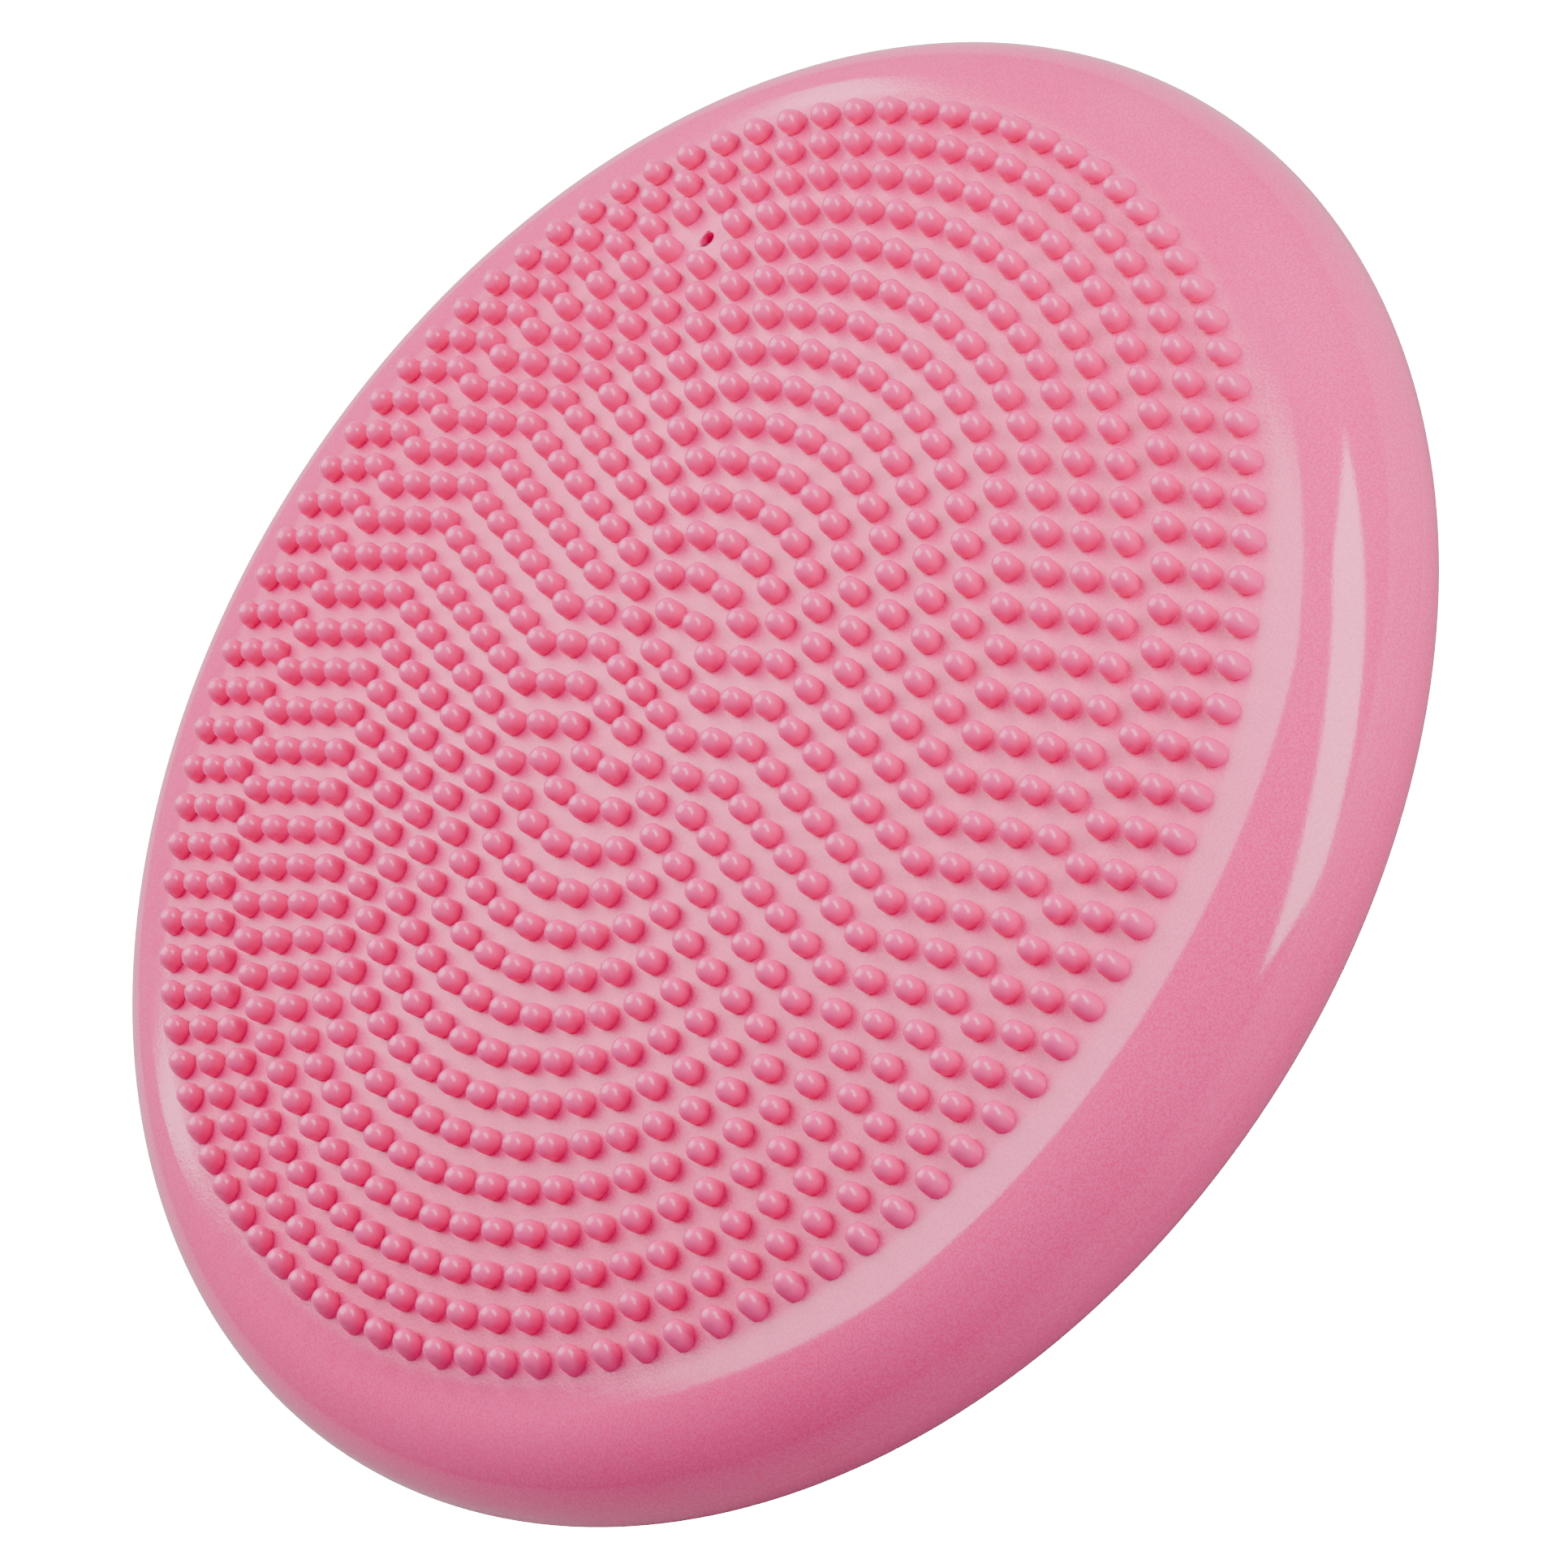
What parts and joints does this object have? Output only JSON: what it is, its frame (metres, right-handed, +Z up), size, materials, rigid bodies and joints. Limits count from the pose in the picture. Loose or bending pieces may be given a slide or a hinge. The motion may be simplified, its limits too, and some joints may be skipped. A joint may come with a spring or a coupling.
{
  "type": "balance cushion",
  "caption": "Inflatable balance cushion: a soft lens-shaped disc with rings of massage nubs on its upper face and a needle valve among them.",
  "frame": {"origin": "centre of the flat patch on which the cushion rests, on the floor plane", "axes": "+Z up, out of the face with the nubs; the needle valve lies between +X and +Y, 39.8 degrees from +X; -Y is the near side"},
  "size_m": [0.33, 0.33, 0.0765],
  "materials": {
    "shell_pvc": "soft PVC, semi-gloss, with a fine leathery grain",
    "nub_pvc": "soft PVC, semi-gloss, deeper in tone than the skin between the nubs",
    "valve_rubber": "smooth soft rubber"
  },
  "bodies": {
    "base": {"lower_shell": "shell_pvc"},
    "top": {"upper_shell": "shell_pvc", "massage_nubs": "nub_pvc", "valve_core": "valve_rubber"}
  },
  "joints": [
    {"name": "sink", "type": "slide", "parent": "base", "child": "top", "axis": [0, 0, 1], "range_m": [-0.02, 0], "stiffness_N_per_m": 36000, "deforming": ["lower_shell"]}
  ]
}
